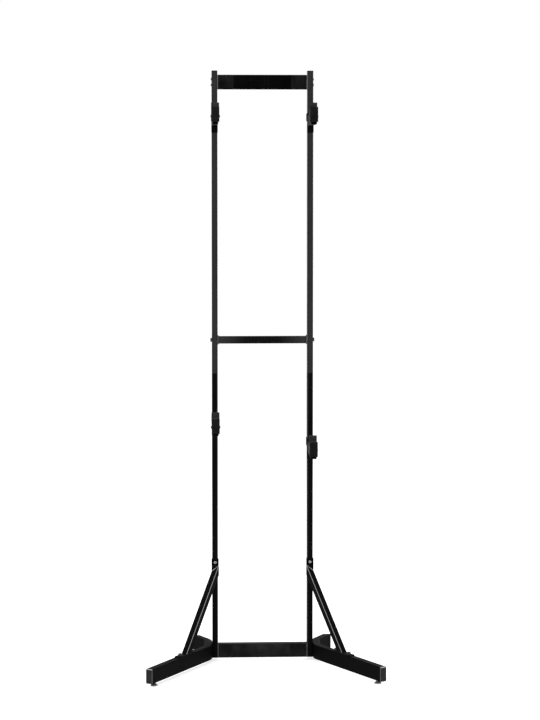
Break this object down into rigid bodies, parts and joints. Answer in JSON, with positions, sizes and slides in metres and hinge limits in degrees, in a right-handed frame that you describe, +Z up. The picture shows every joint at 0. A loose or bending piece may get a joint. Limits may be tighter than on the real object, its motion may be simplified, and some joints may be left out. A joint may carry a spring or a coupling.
{
  "type": "bike storage tower",
  "caption": "Freestanding bike storage tower: tall uprights on splayed floor legs with braces, and height-adjustable padded cradles that hold bikes above each other.",
  "frame": {"origin": "on the floor, midway between the left and right sides and between the base's front and rear ends", "axes": "+Z up along the uprights, the supports reach towards -Y, which is the front, and +X is the right side seen from the front"},
  "size_m": [0.7978, 0.4982, 2.05],
  "materials": {
    "black_powder_coat": "semi-gloss black powder coat with fine texture",
    "black_plastic": "matt moulded black plastic",
    "dark_rubber": "soft dark grey rubber",
    "zinc_steel": "bright zinc plating"
  },
  "bodies": {
    "frame": {"left_leg": "black_powder_coat", "right_leg": "black_powder_coat", "front_leg_caps": "black_plastic", "rear_leg_caps": "black_plastic", "base_crossbar": "black_powder_coat", "base_bolts": "zinc_steel", "base_nuts": "zinc_steel", "left_lower_upright": "black_powder_coat", "right_lower_upright": "black_powder_coat", "left_upper_upright": "black_powder_coat", "right_upper_upright": "black_powder_coat", "left_splice": "zinc_steel", "right_splice": "zinc_steel", "splice_screws": "zinc_steel", "top_caps": "black_plastic", "mid_bar": "black_powder_coat", "mid_bar_bolts": "zinc_steel", "header_panel": "black_powder_coat", "header_screws": "zinc_steel", "left_brace": "black_powder_coat", "right_brace": "black_powder_coat", "brace_brackets": "black_powder_coat", "bracket_bolts": "zinc_steel", "foot_plate_bolts": "zinc_steel"},
    "upper_left_support": {"upper_left_arm": "black_powder_coat", "upper_left_cradle": "black_plastic", "upper_left_cradle_pad": "dark_rubber", "upper_left_cradle_screws": "zinc_steel"},
    "upper_left_clamp_pad": {"upper_left_pressure_pad": "dark_rubber"},
    "upper_left_clamp_screw": {"upper_left_clamp_stud": "zinc_steel", "upper_left_clamp_handle": "black_plastic"},
    "upper_right_support": {"upper_right_arm": "black_powder_coat", "upper_right_cradle": "black_plastic", "upper_right_cradle_pad": "dark_rubber", "upper_right_cradle_screws": "zinc_steel"},
    "upper_right_clamp_pad": {"upper_right_pressure_pad": "dark_rubber"},
    "upper_right_clamp_screw": {"upper_right_clamp_stud": "zinc_steel", "upper_right_clamp_handle": "black_plastic"},
    "lower_left_support": {"lower_left_arm": "black_powder_coat", "lower_left_cradle": "black_plastic", "lower_left_cradle_pad": "dark_rubber", "lower_left_cradle_screws": "zinc_steel"},
    "lower_left_clamp_pad": {"lower_left_pressure_pad": "dark_rubber"},
    "lower_left_clamp_screw": {"lower_left_clamp_stud": "zinc_steel", "lower_left_clamp_handle": "black_plastic"},
    "lower_right_support": {"lower_right_arm": "black_powder_coat", "lower_right_cradle": "black_plastic", "lower_right_cradle_pad": "dark_rubber", "lower_right_cradle_screws": "zinc_steel"},
    "lower_right_clamp_pad": {"lower_right_pressure_pad": "dark_rubber"},
    "lower_right_clamp_screw": {"lower_right_clamp_stud": "zinc_steel", "lower_right_clamp_handle": "black_plastic"},
    "front_left_foot": {"front_left_foot_pad": "dark_rubber"},
    "front_left_foot_screw": {"front_left_foot_stud": "zinc_steel"},
    "front_right_foot": {"front_right_foot_pad": "dark_rubber"},
    "front_right_foot_screw": {"front_right_foot_stud": "zinc_steel"},
    "rear_left_foot": {"rear_left_foot_pad": "dark_rubber"},
    "rear_left_foot_screw": {"rear_left_foot_stud": "zinc_steel"},
    "rear_right_foot": {"rear_right_foot_pad": "dark_rubber"},
    "rear_right_foot_screw": {"rear_right_foot_stud": "zinc_steel"}
  },
  "joints": [
    {"name": "upper_left_height", "type": "slide", "parent": "frame", "child": "upper_left_support", "axis": [0, 0, 1], "range_m": [-0.692, 0.078]},
    {"name": "upper_left_clamp_press", "type": "slide", "parent": "upper_left_support", "child": "upper_left_clamp_pad", "axis": [0, 1, 0], "range_m": [0, 0.00376]},
    {"name": "upper_left_clamp_turn", "type": "hinge", "parent": "upper_left_clamp_pad", "child": "upper_left_clamp_screw", "pos_m": [-0.165, 0.17211, 1.891], "axis": [0, 1, 0], "range_deg": [0, 1080]},
    {"name": "upper_right_height", "type": "slide", "parent": "frame", "child": "upper_right_support", "axis": [0, 0, 1], "range_m": [-0.692, 0.078]},
    {"name": "upper_right_clamp_press", "type": "slide", "parent": "upper_right_support", "child": "upper_right_clamp_pad", "axis": [0, 1, 0], "range_m": [0, 0.00376]},
    {"name": "upper_right_clamp_turn", "type": "hinge", "parent": "upper_right_clamp_pad", "child": "upper_right_clamp_screw", "pos_m": [0.165, 0.17211, 1.891], "axis": [0, 1, 0], "range_deg": [0, 1080]},
    {"name": "lower_left_height", "type": "slide", "parent": "frame", "child": "lower_left_support", "axis": [0, 0, 1], "range_m": [-0.421, 0.229]},
    {"name": "lower_left_clamp_press", "type": "slide", "parent": "lower_left_support", "child": "lower_left_clamp_pad", "axis": [0, 1, 0], "range_m": [0, 0.00376]},
    {"name": "lower_left_clamp_turn", "type": "hinge", "parent": "lower_left_clamp_pad", "child": "lower_left_clamp_screw", "pos_m": [-0.165, 0.17211, 0.845], "axis": [0, 1, 0], "range_deg": [0, 1080]},
    {"name": "lower_right_height", "type": "slide", "parent": "frame", "child": "lower_right_support", "axis": [0, 0, 1], "range_m": [-0.34, 0.305]},
    {"name": "lower_right_clamp_press", "type": "slide", "parent": "lower_right_support", "child": "lower_right_clamp_pad", "axis": [0, 1, 0], "range_m": [0, 0.00376]},
    {"name": "lower_right_clamp_turn", "type": "hinge", "parent": "lower_right_clamp_pad", "child": "lower_right_clamp_screw", "pos_m": [0.165, 0.17211, 0.765], "axis": [0, 1, 0], "range_deg": [0, 1080]},
    {"name": "front_left_foot_lift", "type": "slide", "parent": "frame", "child": "front_left_foot", "axis": [0, 0, 1], "range_m": [-0.0141, 0.0011]},
    {"name": "front_left_foot_turn", "type": "hinge", "parent": "front_left_foot", "child": "front_left_foot_screw", "pos_m": [-0.37225, -0.2161, 0.03], "axis": [0, 0, 1], "range_deg": [-4032, 288]},
    {"name": "front_right_foot_lift", "type": "slide", "parent": "frame", "child": "front_right_foot", "axis": [0, 0, 1], "range_m": [-0.0141, 0.0011]},
    {"name": "front_right_foot_turn", "type": "hinge", "parent": "front_right_foot", "child": "front_right_foot_screw", "pos_m": [0.37225, -0.2161, 0.03], "axis": [0, 0, 1], "range_deg": [-4032, 288]},
    {"name": "rear_left_foot_lift", "type": "slide", "parent": "frame", "child": "rear_left_foot", "axis": [0, 0, 1], "range_m": [-0.0141, 0.0011]},
    {"name": "rear_left_foot_turn", "type": "hinge", "parent": "rear_left_foot", "child": "rear_left_foot_screw", "pos_m": [-0.22032, 0.22744, 0.03], "axis": [0, 0, 1], "range_deg": [-4032, 288]},
    {"name": "rear_right_foot_lift", "type": "slide", "parent": "frame", "child": "rear_right_foot", "axis": [0, 0, 1], "range_m": [-0.0141, 0.0011]},
    {"name": "rear_right_foot_turn", "type": "hinge", "parent": "rear_right_foot", "child": "rear_right_foot_screw", "pos_m": [0.22032, 0.22744, 0.03], "axis": [0, 0, 1], "range_deg": [-4032, 288]}
  ],
  "couplings": [
    {"joint": "upper_left_clamp_press", "follows": "upper_left_clamp_turn", "m_per_rad": 0.00019894},
    {"joint": "upper_right_clamp_press", "follows": "upper_right_clamp_turn", "m_per_rad": 0.00019894},
    {"joint": "lower_left_clamp_press", "follows": "lower_left_clamp_turn", "m_per_rad": 0.00019894},
    {"joint": "lower_right_clamp_press", "follows": "lower_right_clamp_turn", "m_per_rad": 0.00019894},
    {"joint": "front_left_foot_lift", "follows": "front_left_foot_turn", "m_per_rad": 0.00019894},
    {"joint": "front_right_foot_lift", "follows": "front_right_foot_turn", "m_per_rad": 0.00019894},
    {"joint": "rear_left_foot_lift", "follows": "rear_left_foot_turn", "m_per_rad": 0.00019894},
    {"joint": "rear_right_foot_lift", "follows": "rear_right_foot_turn", "m_per_rad": 0.00019894}
  ]
}
